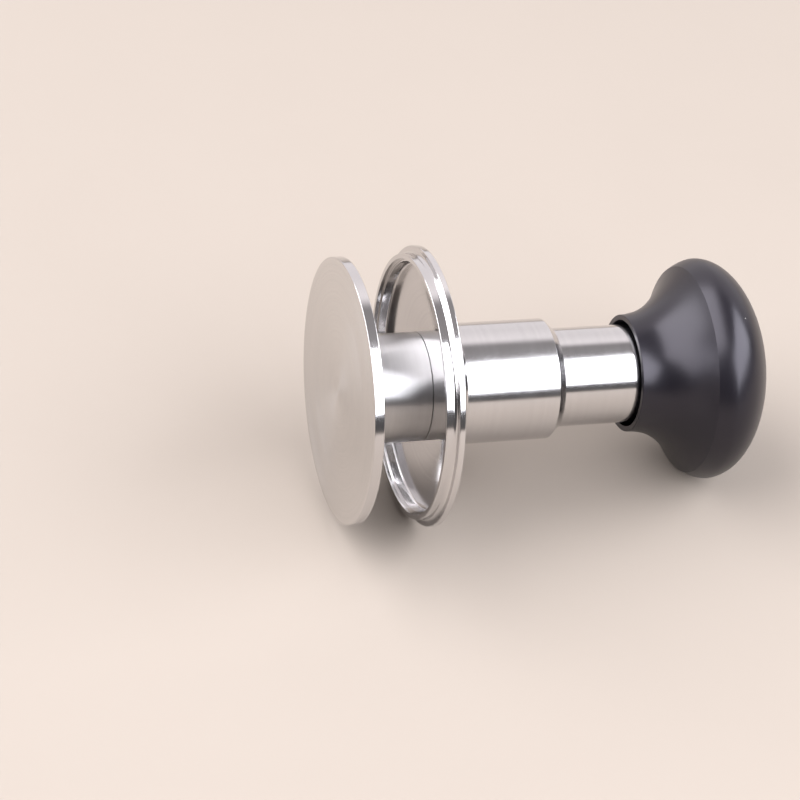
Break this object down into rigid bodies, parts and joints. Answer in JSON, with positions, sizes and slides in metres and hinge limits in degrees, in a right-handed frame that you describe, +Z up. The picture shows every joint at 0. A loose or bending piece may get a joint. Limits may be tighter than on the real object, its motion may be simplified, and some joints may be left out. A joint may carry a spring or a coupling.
{
  "type": "espresso tamper",
  "caption": "Impact espresso tamper with a flat steel base, a sliding self-levelling flange and a domed black knob that presses down on a sprung hammer.",
  "frame": {"origin": "on the surface that the tamper lies on, under the middle of its box", "axes": "+X from the tamping face towards the knob, along the length; +Z up. The tamper's own axis dips 5.4 degrees below +X, because the flange's rim is larger than the knob"},
  "size_m": [0.0994, 0.0618, 0.0617],
  "materials": {
    "turned_steel": "face-turned stainless steel with fine circular tool marks and a bright edge",
    "brushed_steel": "satin turned stainless steel",
    "polished_steel": "mirror-polished stainless steel",
    "black_anodised": "satin black anodised aluminium",
    "hard_steel": "hardened and blackened tool steel",
    "spring_steel": "oiled spring steel",
    "brass": "machined brass",
    "polymer": "natural acetal",
    "rubber": "black nitrile rubber"
  },
  "bodies": {
    "base": {"base_plate": "turned_steel", "barrel": "brushed_steel", "barrel_gland": "brass", "anvil": "hard_steel", "buffer_ring": "polymer", "spigot_seal": "rubber", "latch_collet": "spring_steel"},
    "hammer": {"hammer": "hard_steel", "main_spring": "spring_steel", "hammer_return_spring": "spring_steel"},
    "leveller_guide": {"lower_guide_bush": "polymer", "bush_spacer": "brass", "upper_guide_bush": "polymer"},
    "leveller": {"leveller_flange": "polished_steel", "leveller_sleeve": "brushed_steel", "bush_retaining_ring": "spring_steel", "flange_wiper": "rubber"},
    "knob_stop": {"plunger_retaining_ring": "spring_steel"},
    "knob": {"knob_shell": "black_anodised", "knob_insert": "brass", "knob_bumper": "rubber", "plunger": "brushed_steel", "jam_nut": "brushed_steel"},
    "preload_adjuster": {"adjusting_screw": "hard_steel", "spring_seat": "hard_steel"}
  },
  "joints": [
    {"name": "leveller_slide", "type": "slide", "parent": "base", "child": "leveller_guide", "axis": [0.9956, 0, -0.0939], "range_m": [-0.013, 0.0085]},
    {"name": "leveller_spin", "type": "hinge", "parent": "leveller_guide", "child": "leveller", "pos_m": [-0.02244, 0, 0.03026], "axis": [0.9956, 0, -0.0939], "continuous": true},
    {"name": "knob_press", "type": "slide", "parent": "base", "child": "knob_stop", "axis": [0.9956, 0, -0.0939], "range_m": [-0.008, 0], "stiffness_N_per_m": 4000, "springref_m": 0.002, "deforming": ["main_spring", "latch_collet"]},
    {"name": "knob_spin", "type": "hinge", "parent": "knob_stop", "child": "knob", "pos_m": [0.01868, 0, 0.02638], "axis": [0.9956, 0, -0.0939], "continuous": true},
    {"name": "preload_set", "type": "slide", "parent": "knob", "child": "preload_adjuster", "axis": [0.9956, 0, -0.0939], "range_m": [-0.003, 0]},
    {"name": "hammer_drop", "type": "slide", "parent": "base", "child": "hammer", "axis": [0.9956, 0, -0.0939], "range_m": [-0.006, 0], "stiffness_N_per_m": 300, "springref_m": 0.004, "deforming": ["hammer_return_spring"]}
  ]
}
